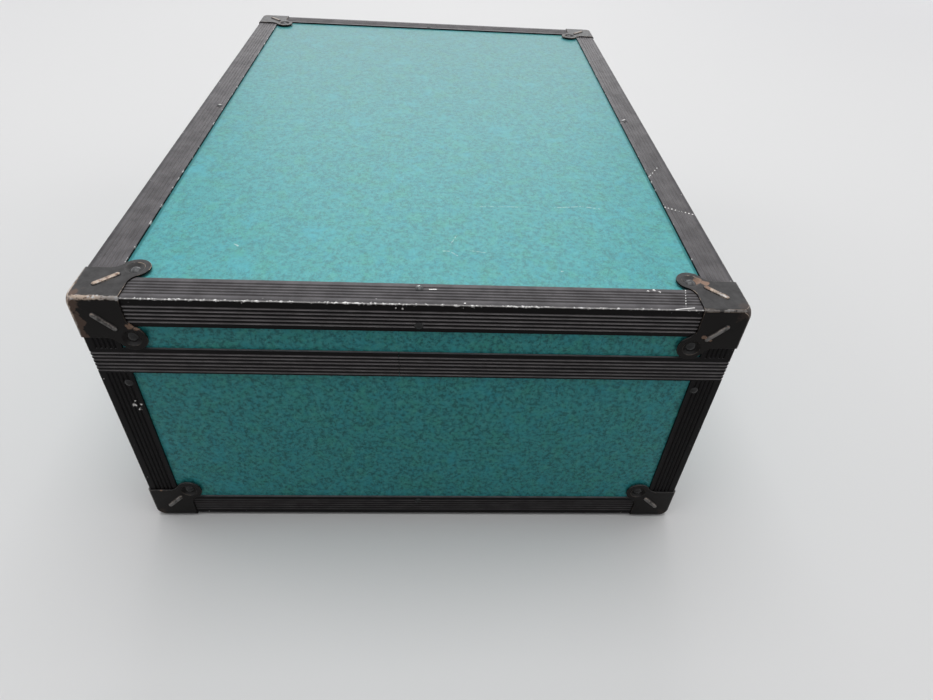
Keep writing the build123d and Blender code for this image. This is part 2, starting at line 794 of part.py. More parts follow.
# pressed channel with a finger lip, drawn in its closed place
def lever():
    half = lever_width / 2
    front = lever_pivot_out + lever_depth / 2
    back = lever_pivot_out - lever_depth / 2
    top = -lever_pivot_drop
    low = top - lever_length
    cheek = [(back, top), (back, low + 3 * lever_depth / 2), (front - 2 * lever_wall, low), (front, low)]
    cheek += [(front, top)]
    behind = back - lever_depth
    hollow = [(behind, top + lever_depth), (behind, low - lever_depth)]
    hollow += [(front - lever_wall, low - lever_depth), (front - lever_wall, top + lever_depth)]
    body = run_x(wall_section(cheek, -1), -half, half)
    round_end = Rotation(0, 90, 0) * Cylinder(lever_depth / 2, lever_width)
    body += Pos(0, -lever_pivot_out, top) * round_end
    long_edges = body.edges().filter_by(Axis.Z).group_by(Axis.Y)[0]
    body = fillet(long_edges, radius=lever_edge_round)
    body -= run_x(wall_section(hollow, -1), lever_wall - half, half - lever_wall)
    lip = [(front - lever_wall, low + lever_wall), (front + lever_lip, low + lever_wall - lever_lip)]
    lip += [(front + lever_lip - lever_wall, low - lever_lip), (front - lever_wall, low - lever_wall / 2)]
    body += run_x(wall_section(lip, -1), -half, half)
    pin_hole = Rotation(0, 90, 0) * Cylinder(lever_pin_radius + pin_clearance, lever_width * 2)
    wire_hole = Rotation(0, 90, 0) * Cylinder(bail_wire_radius + pin_clearance, lever_width * 2)
    body -= Pos(0, -lever_pivot_out, -lever_pivot_drop) * pin_hole
    return body - Pos(0, -toggle_out, -toggle_drop) * wire_hole


# wire loop whose feet turn in through the cheeks of the lever
def bail():
    foot = lever_width / 2 - lever_wall - ear_gap / 2
    points = [(-foot, -toggle_drop), (-bail_half, -toggle_drop), (-bail_half, bail_bar)]
    points += [(bail_half, bail_bar), (bail_half, -toggle_drop), (foot, -toggle_drop)]
    bends = [bail_foot_bend, bail_bend, bail_bend, bail_foot_bend]
    path = FilletPolyline(*[(x, -toggle_out, z) for x, z in points], radius=bends)
    start = Plane(origin=path @ 0, z_dir=path % 0)
    return sweep(start * Circle(bail_wire_radius), path=path)


# ledge for the bail, on a plate that steps in from the rim to the lid panel
def strike():
    ledge_end = toggle_out + bail_wire_radius + strike_ledge_margin
    low = strike_ledge_top - strike_ledge_wall
    hook = joggled_outline(lid_flange, strike_top, low, 1)
    ledge = [(0, low), (ledge_end, low), (ledge_end, strike_ledge_top + strike_lip)]
    ledge += [(ledge_end - sheet / 2, strike_ledge_top), (0, strike_ledge_top)]
    half = strike_hook_width / 2
    body = run_x(wall_section(hook, -1), -half, half) + run_x(wall_section(ledge, -1), -half, half)
    low_edge = lid_flange + joggle_run + sheet
    seat = [(-trim_wall, low_edge), (sheet - trim_wall, low_edge)]
    seat += [(sheet - trim_wall, strike_top), (-trim_wall, strike_top)]
    wide = run_x(wall_section(seat, -1), -strike_plate_width / 2, strike_plate_width / 2)
    return body + fillet(wide.edges().filter_by(Axis.Y), radius=2 * sheet)


def latches():
    shapes = {"plate": latch_plate(), "lever": lever(), "bail": bail(), "strike": strike()}
    parts = {}
    for name, x in latch_places.items():
        for piece, shape in shapes.items():
            placed = Pos(x, -half_y, seam) * shape
            if piece == "plate":
                placed = base_drilled(placed)
            if piece == "strike":
                placed = lid_drilled(placed)
            parts[f"latch_{name}_{piece}"] = placed
    return parts


def pins():
    hinge_pin = Rotation(0, 90, 0) * Cylinder(hinge_pin_radius, hinge_width + sheet)
    latch_pin = Rotation(0, 90, 0) * Cylinder(lever_pin_radius, lever_width + bail_side_gap)
    placed = [Pos(x, hinge_y, seam) * hinge_pin for x in hinge_places.values()]
    for x in latch_places.values():
        placed.append(Pos(x, -half_y - lever_pivot_out, seam - lever_pivot_drop) * latch_pin)
    return {"hinge_and_latch_pins": solids_of(placed)}


# ---- carrying handle ----
def handle_wire():
    side = handle_span / 2
    tip = side + handle_pivot_length
    points = [(-tip, 0), (-side, 0), (-side, -handle_drop), (side, -handle_drop), (side, 0), (tip, 0)]
    bends = [handle_top_bend, handle_grip_bend, handle_grip_bend, handle_top_bend]
    path = FilletPolyline(*[(x, 0, z) for x, z in points], radius=bends)
    start = Plane(origin=path @ 0, z_dir=path % 0)
    wire = sweep(start * Circle(handle_wire_radius), path=path)
    return Pos(0, -half_y - handle_pivot_out, handle_z) * wire


def handle_grip():
    face = Plane.YZ * Ellipse(grip_half_depth, grip_half_height)
    grip = extrude(face, amount=grip_length / 2, both=True)
    grip = fillet(grip.edges(), radius=grip_end_round)
    bore = Rotation(0, 90, 0) * Cylinder(handle_wire_radius + pin_clearance, 2 * grip_length)
    return Pos(0, -half_y - handle_pivot_out, handle_z - handle_drop) * (grip - bore)


def handle_bracket(end):
    first = handle_span / 2 + bracket_ear_first
    last = first + bracket_ear_spacing + sheet
    tall = bracket_height / 2
    seat = [(-trim_wall, -tall), (sheet - trim_wall, -tall), (sheet - trim_wall, tall), (-trim_wall, tall)]
    plate = run_x(wall_section(seat, -1), first - sheet, last + sheet)
    plate = fillet(plate.edges().filter_by(Axis.Y), radius=sheet)
    eye = handle_wire_radius + pin_clearance
    rim = eye + sheet
    root = [(-sheet / 2, 2 * rim), (handle_pivot_out, rim), (handle_pivot_out, -rim), (-sheet / 2, -2 * rim)]
    disc = Rotation(0, 90, 0) * Cylinder(rim, sheet)
    hole = Rotation(0, 90, 0) * Cylinder(eye, 4 * handle_span)
    pivot = Pos(0, -handle_pivot_out, 0)
    for low in (first, first + bracket_ear_spacing):
        plate += run_x(wall_section(root, -1), low, low + sheet)
        plate += Pos(low + sheet / 2, 0, 0) * pivot * disc
    placed = Pos(0, -half_y, handle_z) * (plate - pivot * hole)
    return placed if end > 0 else mirror(placed, about=Plane.YZ)


def handle():
    brackets = solids_of([base_drilled(handle_bracket(end)) for end in (-1, 1)])
    return {"handle_wire": handle_wire(), "handle_grip": handle_grip(), "handle_brackets": brackets}


# ---- feet ----
def feet():
    cone = Cone(foot_radius, foot_tip_radius, foot_height)
    cone = fillet(cone.edges().sort_by(Axis.Z)[-1], radius=foot_edge_round)
    foot = Pos(0, 0, -foot_height / 2) * cone
    foot -= Pos(0, 0, -foot_recess_depth / 2) * Cylinder(foot_recess_radius, foot_recess_depth)
    foot -= Pos(0, 0, -foot_height / 2) * Cylinder(screw_shank_radius + rivet_clearance, 2 * foot_height)
    return {"back_feet": solids_of([set_at(foot, place) for place in foot_places(0)])}


# the whole object, from the handle to the feet, is centred on the origin
def centred(shape):
    moved = [Pos(0, footprint_shift, 0) * solid for solid in shape.solids()]
    return moved[0] if len(moved) == 1 else Compound(moved)


os.makedirs("parts", exist_ok=True)
nodes = {}
for group in (panels, trims, rims, caps, fasteners, foams, hinges, latches, pins, handle, feet):
    nodes.update(group())
for name, shape in nodes.items():
    export_step(centred(shape), f"parts/{name}.step")
print(len(nodes), "nodes")
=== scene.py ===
import json
from math import cos, pi, radians, sin

import bpy
from mathutils import Matrix, Vector


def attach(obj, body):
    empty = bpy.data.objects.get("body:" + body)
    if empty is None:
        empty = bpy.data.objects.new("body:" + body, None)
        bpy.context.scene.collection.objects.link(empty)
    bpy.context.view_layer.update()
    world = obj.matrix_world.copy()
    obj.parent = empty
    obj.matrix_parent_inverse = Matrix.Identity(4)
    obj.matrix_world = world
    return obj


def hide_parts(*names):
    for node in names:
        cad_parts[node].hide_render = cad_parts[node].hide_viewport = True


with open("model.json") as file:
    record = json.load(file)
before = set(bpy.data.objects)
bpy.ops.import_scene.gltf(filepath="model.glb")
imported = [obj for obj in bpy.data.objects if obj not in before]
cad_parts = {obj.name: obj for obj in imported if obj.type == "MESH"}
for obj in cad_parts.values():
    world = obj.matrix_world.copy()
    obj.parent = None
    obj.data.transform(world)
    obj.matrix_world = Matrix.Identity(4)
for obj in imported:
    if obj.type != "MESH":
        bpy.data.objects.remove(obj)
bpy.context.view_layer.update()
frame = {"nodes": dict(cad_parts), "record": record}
cadNodes = frame["nodes"]
scene = bpy.context.scene
scene.view_settings.view_transform = "Standard"
mm = 0.001  # turns millimetres into the scene's metres

# outside of the trims in millimetres, which most wear and layer patterns are measured from
caseForm = {"centre": (0.0, 2.8, 112.8), "half": (303.0, 212.5, 110.5)}


# ---- camera ----
# places in metres, and the lens and its sensor in millimetres
cameraSetup = {
    "place": (-0.6271, -0.00346, 0.4720),
    "forward": (0.74895, -0.05835, -0.66006),
    "right": (-0.03254, -0.99815, 0.05132),
    "lens": 25.27,
    "sensor": 36.0,
    "nearest": 0.02,
}


def addCamera(setup):
    bpy.ops.object.camera_add()
    camera = bpy.context.object
    forward, right = Vector(setup["forward"]), Vector(setup["right"])
    turn = Matrix((right, right.cross(forward), -forward)).transposed().to_4x4()
    camera.matrix_world = Matrix.Translation(setup["place"]) @ turn
    camera.data.sensor_width = setup["sensor"]
    camera.data.lens = setup["lens"]
    camera.data.clip_start = setup["nearest"]
    scene.camera = camera


addCamera(cameraSetup)
print("camera placed")


# ---- node helpers ----
black = (0.0, 0.0, 0.0)


def addNode(tree, kind, inputs=None, **settings):
    made = tree.nodes.new(kind)
    for name, setting in settings.items():
        setattr(made, name, setting)
    for socket, source in (inputs or {}).items():
        if isinstance(source, bpy.types.NodeSocket):
            tree.links.new(source, made.inputs[socket])
        else:
            made.inputs[socket].default_value = source
    return made


def calc(tree, operation, first, second=0.0, clamp=False):
    made = addNode(tree, "ShaderNodeMath", {0: first, 1: second}, operation=operation, use_clamp=clamp)
    return made.outputs[0]


def times(tree, first, second):
    return calc(tree, "MULTIPLY", first, second)


def allBut(tree, mask):
    return calc(tree, "SUBTRACT", 1.0, mask)


def fade(tree, source, low, high, least=0.0, most=1.0):
    limits = {"Value": source, "From Min": low, "From Max": high, "To Min": least, "To Max": most}
    made = addNode(tree, "ShaderNodeMapRange", limits, interpolation_type="SMOOTHSTEP")
    return made.outputs["Result"]


def noise(tree, place, size, detail=2.0, roughness=0.5, distortion=0.0):
    # size is that of one blotch in millimetres
    inputs = {"Vector": place, "Scale": 1 / mm / size, "Detail": detail}
    inputs.update({"Roughness": roughness, "Distortion": distortion})
    return addNode(tree, "ShaderNodeTexNoise", inputs).outputs[0]


def blotches(tree, place, pattern, least=0.0, most=1.0):
    size, detail, roughness, low, high = pattern
    return fade(tree, noise(tree, place, size, detail, roughness), low, high, least, most)


def stretch(tree, place, scale):
    return addNode(tree, "ShaderNodeMapping", {"Vector": place, "Scale": scale}).outputs[0]


def axes(tree, vector):
    return addNode(tree, "ShaderNodeSeparateXYZ", {0: vector}).outputs[:3]


def colourMix(tree, factor, first, second):
    made = addNode(tree, "ShaderNodeMix", data_type="RGBA")
    for socket, source in ((0, factor), (6, first), (7, second)):
        if isinstance(source, bpy.types.NodeSocket):
            tree.links.new(source, made.inputs[socket])
        elif socket == 0:
            made.inputs[0].default_value = source
        else:
            made.inputs[socket].default_value = (*source, 1.0)
    return made.outputs[2]


def stain(tree, colour, mask, share, other):
    # another colour over the first, where the mask is, by no more than the share
    return colourMix(tree, times(tree, mask, share), colour, other)


def vectorMath(tree, operation, first, second=(0.0, 0.0, 0.0)):
    made = addNode(tree, "ShaderNodeVectorMath", {0: first, 1: second}, operation=operation)
    return made.outputs["Value"] if operation in ("DISTANCE", "DOT_PRODUCT") else made.outputs[0]


def scaled(tree, vector, scale):
    return addNode(tree, "ShaderNodeVectorMath", {0: vector, "Scale": scale}, operation="SCALE").outputs[0]


def highest(tree, masks):
    result = masks[0]
    for mask in masks[1:]:
        result = calc(tree, "MAXIMUM", result, mask)
    return result


def startMaterial(name):
    material = bpy.data.materials.new(name)
    material.use_nodes = True
    tree = material.node_tree
    place = addNode(tree, "ShaderNodeTexCoord").outputs["Object"]
    return material, tree, tree.nodes["Principled BSDF"], place


def setShader(tree, shader, **sockets):
    for name, source in sockets.items():
        socket = shader.inputs[name.replace("_", " ")]
        if isinstance(source, bpy.types.NodeSocket):
            tree.links.new(source, socket)
        elif isinstance(source, tuple):
            socket.default_value = (*source, 1.0)
        else:
            socket.default_value = source


def addBump(tree, shader, height, depth):
    # depth is the height of the relief in millimetres
    bump = addNode(tree, "ShaderNodeBump", {"Height": height, "Distance": depth * mm, "Strength": 1.0})
    tree.links.new(bump.outputs[0], shader.inputs["Normal"])


def caseDepths(tree, place):
    # how far each point lies inside the six outer faces of the trims, in millimetres
    centre = tuple(value * mm for value in caseForm["centre"])
    half = tuple(value * mm for value in caseForm["half"])
    reach = vectorMath(tree, "ABSOLUTE", vectorMath(tree, "SUBTRACT", place, centre))
    depth = vectorMath(tree, "SUBTRACT", half, reach)
    return axes(tree, scaled(tree, depth, 1 / mm))


def faceDepth(tree, depths):
    return calc(tree, "MINIMUM", calc(tree, "MINIMUM", depths[0], depths[1]), depths[2])


def arrisDepth(tree, depths):
    # the second smallest depth is small only along the arrises
    pairs = [calc(tree, "MAXIMUM", depths[i], depths[j]) for i, j in ((0, 1), (1, 2), (0, 2))]
    return calc(tree, "MINIMUM", calc(tree, "MINIMUM", pairs[0], pairs[1]), pairs[2])


def ragged(tree, place, size, amount):
    # the place, shaken by a noise, so that chips and scratches have ragged outlines
    shake = addNode(tree, "ShaderNodeTexNoise", {"Vector": place, "Scale": 1 / mm / size, "Detail": 2.0})
    moved = vectorMath(tree, "SUBTRACT", shake.outputs[1], (0.5, 0.5, 0.5))
    return vectorMath(tree, "ADD", place, scaled(tree, moved, amount * 2 * mm))


def shakenDepth(tree, depth, source, amount):
    # a depth moved to and fro by a noise, so that worn edges are ragged
    return calc(tree, "ADD", depth, times(tree, calc(tree, "SUBTRACT", 0.5, source), amount))


# the inner share of a mark's width that is solid, and the levels between which a dotted line's beat fades
markShape = {"spotCore": 0.7, "lineCore": 0.5, "beat": (-0.1, 0.4)}


def spotMask(tree, place, spot):
    x, y, z, radius = spot
    away = vectorMath(tree, "DISTANCE", place, (x * mm, y * mm, z * mm))
    return fade(tree, away, radius * mm, radius * mm * markShape["spotCore"])


def lineMask(tree, place, line):
    # a scratch from one point to another, with a half width and, where it is dotted, a pitch
    start, end = Vector(line[0]) * mm, Vector(line[1]) * mm
    along = end - start
    offset = vectorMath(tree, "SUBTRACT", place, tuple(start))
    share = vectorMath(tree, "DOT_PRODUCT", offset, tuple(along / along.length_squared))
    inside = calc(tree, "MULTIPLY", share, 1.0, clamp=True)
    away = vectorMath(tree, "DISTANCE", offset, scaled(tree, tuple(along), inside))
    mask = fade(tree, away, line[2] * mm, line[2] * mm * markShape["lineCore"])
    if len(line) < 4:
        return mask
    beat = calc(tree, "SINE", times(tree, share, along.length / (line[3] * mm) * 2 * pi))
    return times(tree, mask, fade(tree, beat, *markShape["beat"]))


def upward(tree, low, high, least=0.0, most=1.0):
    # how far a surface faces up, where handling and dust grey it and a painted sheen lightens it
    normal = addNode(tree, "ShaderNodeTexCoord").outputs["Normal"]
    return fade(tree, axes(tree, normal)[2], low, high, least, most)


# ---- floor, backdrop and lamps ----
# places and sizes in metres, and power in watts
studio = {
    "floorSize": 16.0,
    "floorColour": (0.72, 0.72, 0.725),
    "floorBounce": (0.23, 0.21, 0.195),
    "floorRough": 0.85,
    "floorShine": 0.1,
    "backdrop": (0.82, 0.82, 0.84),
    "floorFade": (0.8, 3.2),
    "worldLevel": 0.29,
    "aim": (0.0, 0.0, 0.1),
    "lamps": (
        {"place": (0.05, 0.0, 2.9), "size": 2.4, "power": 54.0},
        {"place": (2.4, 0.0, 1.6), "size": 2.0, "power": 21.0},
        {"place": (0.4, -2.3, 1.3), "size": 1.6, "power": 10.0},
        {"place": (0.4, 2.3, 1.3), "size": 1.6, "power": 10.0},
    ),
}


def rayShare(tree):
    # what the camera, gloss and glass see of the floor and the backdrop
    path = addNode(tree, "ShaderNodeLightPath")
    rays = ("Is Camera Ray", "Is Glossy Ray", "Is Transmission Ray")
    return highest(tree, [path.outputs[name] for name in rays])


def addStudio(setup):
    bpy.ops.mesh.primitive_plane_add(size=setup["floorSize"], location=(0, 0, 0))
    floor = bpy.context.object
    floor.name = "studioFloor"
    material, tree, shader, place = startMaterial("paleFloor")
    colour = colourMix(tree, rayShare(tree), setup["floorBounce"], setup["floorColour"])
    # far from the object the floor passes into the backdrop
    away = vectorMath(tree, "DISTANCE", place)
    far = times(tree, fade(tree, away, *setup["floorFade"]), rayShare(tree))
    setShader(tree, shader, Base_Color=colourMix(tree, far, colour, black), Roughness=setup["floorRough"])
    setShader(tree, shader, Emission_Color=setup["backdrop"], Emission_Strength=far)
    setShader(tree, shader, Specular_IOR_Level=setup["floorShine"])
    floor.data.materials.append(material)

    world = bpy.data.worlds.new("softRoom")
    scene.world = world
    world.use_nodes = True
    tree = world.node_tree
    background = tree.nodes["Background"]
    grey = (setup["worldLevel"],) * 3
    tree.links.new(colourMix(tree, rayShare(tree), grey, setup["backdrop"]), background.inputs["Color"])
    for lamp in setup["lamps"]:
        bpy.ops.object.light_add(type="AREA", location=lamp["place"])
        light = bpy.context.object
        light.data.shape = "SQUARE"
        light.data.size = lamp["size"]
        light.data.energy = lamp["power"]
        aim = Vector(setup["aim"]) - Vector(lamp["place"])
        light.rotation_euler = aim.to_track_quat("-Z", "Y").to_euler()


addStudio(studio)
print("studio lit")


# ---- finishes ----
# a pattern is its blotches' size in millimetres, detail and roughness, then any levels it fades between
# a fade is the two values it runs between and, where these aren't 0 and 1, what it gives at each of them
# fades over x, z or a distance are in metres, and fades over a depth are in millimetres
laminate = {
    "teal": (0.046, 0.375, 0.400),
    "deep": (0.016, 0.150, 0.158),
    "green": (0.052, 0.385, 0.320),
    "blue": (0.036, 0.370, 0.440),
    "pale": (0.120, 0.520, 0.500),
    "cyan": (0.050, 0.470, 0.570),
    # the mottle
    "shift": (0.31, 0.17, 0.43),
    "greens": (16.0, 4.0, 0.7, 0.46, 0.62),
    "blues": (12.0, 4.0, 0.7, 0.48, 0.64),
    "flecks": (3.1, 5.0, 0.88, 0.45, 0.60),
    "lights": (3.8, 5.0, 0.85, 0.48, 0.62),
    "cyans": (28.0, 5.0, 0.65, 0.54, 0.72),
    "shares": {"green": 0.7, "blue": 0.7, "pale": 0.45, "cyan": 0.45, "scratch": 0.55, "ply": 0.35},
    # what differs between the sides and the top, where dust, a painted sheen and a painted shade lie
    "slope": (0.3, 0.8),
    "fleckShare": (0.98, 0.62),
    "dustAndSheen": (0.30, 0.37, 0.39),
    "dustAndSheenShare": 0.13,
    "endShade": (-0.40, 0.40, 0.0, 0.32),
    "trimShadowLine": 22.8,
    "trimShadowFade": (1.8, 0.6, 0.0, 0.65),
    # scratches, each from one point to another with a half width
    "scratchColour": (0.75, 0.85, 0.84),
    "scratchShake": (3.0, 0.4),
    "scratchGaps": (1.6, 2.0, 0.5, 0.40, 0.55),
    # plywood, whose grain ends with its distortion
    "plyFace": (0.50, 0.34, 0.20),
    "plyDark": (0.30, 0.18, 0.10),
    "pliesPerMm": 0.36,
    "plyFade": (0.46, 0.54),
    "grainStretch": (0.08, 1.0, 0.25),
    "grain": (1.2, 3.0, 0.6, 0.3),
    "grainFade": (0.35, 0.70, 0.0, 0.6),
    "skinFade": (2.5, 2.3),
    # surface
    "rough": (0.0, 1.0, 0.62, 0.42),
    "shine": 0.28,
    "pebbles": (1.1, 2.0, 0.6),
    "relief": 0.02,
    "scratches": (
        ((-173.6, -100.0, 221.7), (-170.4, -122.1, 221.7), 0.35),
        ((-170.4, -122.1, 221.7), (-173.6, -136.0, 221.7), 0.4),
        ((-175.2, -41.5, 221.7), (-174.1, -72.7, 221.7), 0.25),
        ((-217.7, -22.8, 221.7), (-232.6, -16.8, 221.7), 0.35),
        ((-239.2, -12.3, 221.7), (-239.4, -17.5, 221.7), 0.5),
        ((-239.4, -17.5, 221.7), (-245.0, -22.9, 221.7), 0.3),
        ((-237.7, -31.5, 221.7), (-240.0, -42.0, 221.7), 0.25),
        ((-260.7, -93.0, 221.7), (-260.7, -93.6, 221.7), 0.8),
        ((-236.5, 131.0, 221.7), (-239.5, 127.5, 221.7), 0.7),
    ),
}


def laminateMaterial(look):
    material, tree, shader, place = startMaterial("mottledLaminate")
    depths = caseDepths(tree, place)
    shallow = faceDepth(tree, depths)
    shares = look["shares"]
    # short flecks of deep teal over a mid teal that drifts to green and to blue
    shifted = vectorMath(tree, "ADD", place, look["shift"])
    greens = blotches(tree, place, look["greens"])
    blues = blotches(tree, shifted, look["blues"])
    flecks = blotches(tree, place, look["flecks"])
    lights = blotches(tree, shifted, look["lights"])
    colour = stain(tree, look["teal"], greens, shares["green"], look["green"])
    colour = stain(tree, colour, blues, shares["blue"], look["blue"])
    colour = stain(tree, colour, lights, shares["pale"], look["pale"])
    fleckShare = upward(tree, *look["slope"], *look["fleckShare"])
    colour = stain(tree, colour, flecks, fleckShare, look["deep"])
    cyans = blotches(tree, shifted, look["cyans"])
    colour = stain(tree, colour, cyans, shares["cyan"], look["cyan"])
    # the top has dust and a painted sheen, and a painted shade darkens it towards the right end
    up = upward(tree, *look["slope"])
    colour = stain(tree, colour, up, look["dustAndSheenShare"], look["dustAndSheen"])
    shade = fade(tree, axes(tree, place)[0], *look["endShade"])
    colour = stain(tree, colour, up, shade, black)
    # a painted shadow lies along the trims of the long sides, on the top
    trimShadow = calc(tree, "ABSOLUTE", calc(tree, "SUBTRACT", depths[1], look["trimShadowLine"]))
    colour = stain(tree, colour, fade(tree, trimShadow, *look["trimShadowFade"]), up, look["deep"])
    rough = ragged(tree, place, *look["scratchShake"])
    marks = highest(tree, [lineMask(tree, rough, line) for line in look["scratches"]])
    marks = times(tree, marks, blotches(tree, place, look["scratchGaps"]))
    colour = stain(tree, colour, marks, shares["scratch"], look["scratchColour"])
    # plies of wood behind the laminate, seen on the edges and inside
    plies = calc(tree, "FRACT", times(tree, shallow, look["pliesPerMm"]))
    stripes = fade(tree, plies, *look["plyFade"])
    grain = noise(tree, stretch(tree, place, look["grainStretch"]), *look["grain"])
    wood = colourMix(tree, fade(tree, grain, *look["grainFade"]), look["plyFace"], look["plyDark"])
    wood = stain(tree, wood, stripes, shares["ply"], look["plyDark"])
    outside = fade(tree, shallow, *look["skinFade"])
    setShader(tree, shader, Base_Color=colourMix(tree, outside, wood, colour))
    setShader(tree, shader, Roughness=fade(tree, outside, *look["rough"]), Specular_IOR_Level=look["shine"])
    addBump(tree, shader, noise(tree, place, *look["pebbles"]), look["relief"])
    return material


# rolled black angle, bare along its knocked arrises and at chips
anodised = {
    "black": (0.0048, 0.0040, 0.0044),
    "greyed": (0.137, 0.131, 0.138),
    "facet": (0.290, 0.275, 0.283),
    "bare": (0.86, 0.85, 0.84),
    "highlightGrey": (0.42, 0.41, 0.41),
    # arrises, bare in places, with a thin painted highlight elsewhere
    "drift": (5.0, 4.0, 0.7),
    "coarse": (26.0, 3.0, 0.6),
    "fine": (3.6, 4.0, 0.75),
    "specks": (2.6, 3.0, 0.7),
    "leftEnd": (-0.290, -0.300),
    "topEdge": (0.212, 0.220),
    "wear": {"leftEnd": 0.19, "coarse": 0.35, "fine": 0.75},
    "wearFade": (0.72, 0.82),
    "speckShift": 4.5,
    "edgeFade": (0.90, 0.45),
    "thinWhere": (0.38, 0.52),
    "thinFade": (0.80, 0.45),
    "thinShare": 0.8,
    # flakes along with a painted highlight, nicks and chips
    "lip": 21.8,
    "lipFade": (0.55, 0.35),
    "lipDepth": (2.0, 1.0),
    "flakesAndGlints": (5.0, 3.0, 0.6, 0.58, 0.66),
    "flakeAndGlintShare": 0.6,
    "nicks": (2.2, 2.0, 0.5, 0.72, 0.76),
    "nickReach": (4.0, 1.0),
    "chipShake": (1.3, 1.2),
    # dust, a painted sheen on the tops and painted light on the upward facets
    "streak": (0.5, 0.5, 1.0),
    "dustAndSheen": (8.0, 4.0, 0.65, 0.30, 0.70),
    "dustAndSheenShare": (0.62, 1.0),
    "grooveShare": (0.0, 2.0, 0.34, 0.58),
    "grooveDepth": (1.2, 2.0),
    "heightShare": (0.09, 0.215, 0.28, 1.0),
    "facetSlope": (0.15, 0.60),
    "arrisDustAndSheen": (2.2, 3.8, 0.66, 1.0),
    "topSlope": (0.82, 0.96),
    # surface
    "metal": 0.25,
    "rough": (0.3, 0.7, 0.34, 0.46),
    "shine": 0.08,
    "grain": (0.9, 2.0),
    "relief": 0.006,
    # chips are a place and a radius, and a scratch may end with a pitch that dots it
    "chips": (
        (-297.2, 29.0, 223.3, 0.9),
        (-300.4, -26.0, 223.3, 0.7),
        (-303.0, 16.9, 220.4, 0.7),
        (-303.0, 12.9, 219.8, 0.6),
        (-303.0, 9.0, 217.4, 0.5),
        (-283.3, -146.9, 223.3, 0.9),
        (-282.0, -151.2, 223.3, 1.0),
        (-284.1, -154.7, 223.3, 0.8),
        (-303.0, 200.0, 129.8, 1.8),
        (-303.0, 195.3, 130.6, 1.1),
        (-303.0, 197.5, 125.6, 1.1),
        (-303.0, 198.5, 134.2, 0.8),
    ),
    "scratches": (
        ((-302.4, -160.4, 223.0), (-300.4, -172.9, 223.2), 0.5),
        ((-170.1, -187.6, 223.3), (-181.3, -209.0, 223.3), 0.8, 2.7),
        ((-119.1, -187.6, 223.3), (-101.4, -199.3, 223.3), 0.6, 2.9),
        ((-281.1, -172.6, 223.3), (-298.6, -168.0, 223.3), 0.42, 3.0),
        ((-286.8, -3.6, 223.3), (-286.6, -8.0, 223.3), 0.5),
    ),
}


def anodisedMaterial(look):
    material, tree, shader, place = startMaterial("blackAnodised")
    depths = caseDepths(tree, place)
    arris = arrisDepth(tree, depths)
    drift = noise(tree, place, *look["drift"])
    coarse = noise(tree, place, *look["coarse"])
    split = axes(tree, place)
    wear = look["wear"]
    leftTop = times(tree, fade(tree, split[0], *look["leftEnd"]), fade(tree, split[2], *look["topEdge"]))
    # how much of each arris is worn: nearly all of the left end's top one
    limit = calc(tree, "ADD", times(tree, leftTop, wear["leftEnd"]), times(tree, coarse, wear["coarse"]))
    limit = calc(tree, "ADD", limit, times(tree, noise(tree, place, *look["fine"]), wear["fine"]))
    wornHere = fade(tree, limit, *look["wearFade"])
    specks = noise(tree, place, *look["specks"])
    edge = fade(tree, shakenDepth(tree, arris, specks, look["speckShift"]), *look["edgeFade"])
    edge = times(tree, edge, wornHere)
    # a thin painted highlight along the arrises
    thinHighlight = calc(tree, "MAXIMUM", fade(tree, coarse, *look["thinWhere"]), leftTop)
    thinHighlight = times(tree, fade(tree, arris, *look["thinFade"]), thinHighlight)
    # flakes and a painted highlight along the inner edges of the long sides' top and bottom trims
    lip = calc(tree, "ABSOLUTE", calc(tree, "SUBTRACT", look["lip"], depths[1]))
    lip = times(tree, fade(tree, lip, *look["lipFade"]), fade(tree, depths[2], *look["lipDepth"]))
    flakesAndGlints = times(tree, lip, blotches(tree, place, look["flakesAndGlints"]))
    nicks = times(tree, blotches(tree, place, look["nicks"]), fade(tree, arris, *look["nickReach"]))
    rough = ragged(tree, place, *look["chipShake"])
    chips = highest(tree, [spotMask(tree, rough, spot) for spot in look["chips"]])
    marks = highest(tree, [lineMask(tree, place, line) for line in look["scratches"]])
    bare = highest(tree, [edge, nicks, chips, marks, times(tree, flakesAndGlints, look["flakeAndGlintShare"])])
    streaked = stretch(tree, place, look["streak"])
    dustAndSheen = blotches(tree, streaked, look["dustAndSheen"], *look["dustAndSheenShare"])
    # dust and painted light on the upward facets: the top grooves of the long sides' trims get more than
    # those of the ends' trims
    # facets low on the case get less dust and painted light than high ones
    groove = fade(tree, calc(tree, "SUBTRACT", depths[0], depths[1]), *look["grooveShare"])
    lit = fade(tree, depths[2], *look["grooveDepth"], groove, 1.0)
    lit = times(tree, lit, fade(tree, split[2], *look["heightShare"]))
    facet = times(tree, times(tree, dustAndSheen, lit), upward(tree, *look["facetSlope"]))
    colour = colourMix(tree, facet, look["black"], look["facet"])
    # dust and a painted sheen grey the top all over, and less so beside the outer arris
    dustAndSheen = times(tree, dustAndSheen, fade(tree, arris, *look["arrisDustAndSheen"]))
    top = upward(tree, *look["topSlope"])
    colour = colourMix(tree, top, colour, colourMix(tree, dustAndSheen, look["black"], look["greyed"]))
    colour = stain(tree, colour, thinHighlight, look["thinShare"], look["highlightGrey"])
    setShader(tree, shader, Base_Color=colourMix(tree, bare, colour, look["bare"]))
    setShader(tree, shader, Metallic=times(tree, bare, look["metal"]))
    setShader(tree, shader, Roughness=fade(tree, drift, *look["rough"]), Specular_IOR_Level=look["shine"])
    addBump(tree, shader, noise(tree, place, *look["grain"]), look["relief"])
    return material


